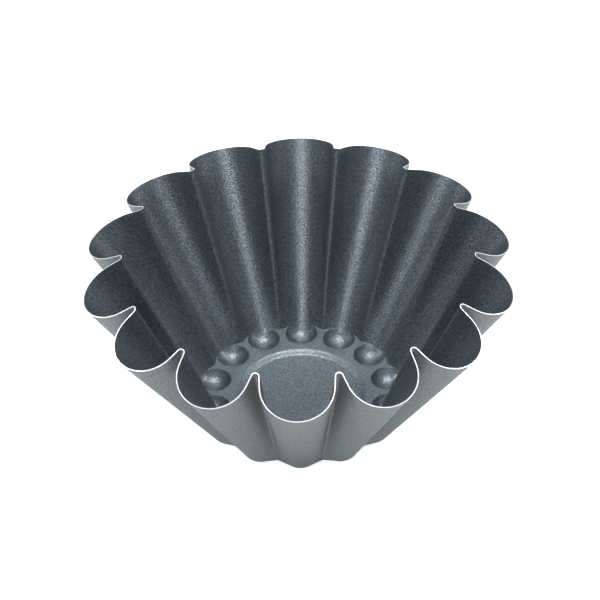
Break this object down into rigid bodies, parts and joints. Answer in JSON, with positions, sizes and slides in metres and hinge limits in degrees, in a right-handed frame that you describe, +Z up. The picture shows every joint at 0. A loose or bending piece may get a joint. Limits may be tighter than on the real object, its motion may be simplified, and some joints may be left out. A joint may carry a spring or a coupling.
{
  "type": "fluted brioche mould",
  "caption": "Fluted brioche mould pressed from coated steel sheet, with a round cup at the foot of each flute.",
  "frame": {"origin": "on the axis of the mould, at the level of the feet it stands on", "axes": "+Z up along the axis; -Y through the middle of the front flute"},
  "size_m": [0.1958, 0.2, 0.0905],
  "materials": {
    "bare_steel": "bright trimmed edge",
    "inner_nonstick": "satin, finely speckled",
    "outer_nonstick": "satin, finely speckled"
  },
  "bodies": {
    "root": {"steel_sheet": "bare_steel", "inner_coating": "inner_nonstick", "outer_coating": "outer_nonstick"}
  },
  "joints": []
}
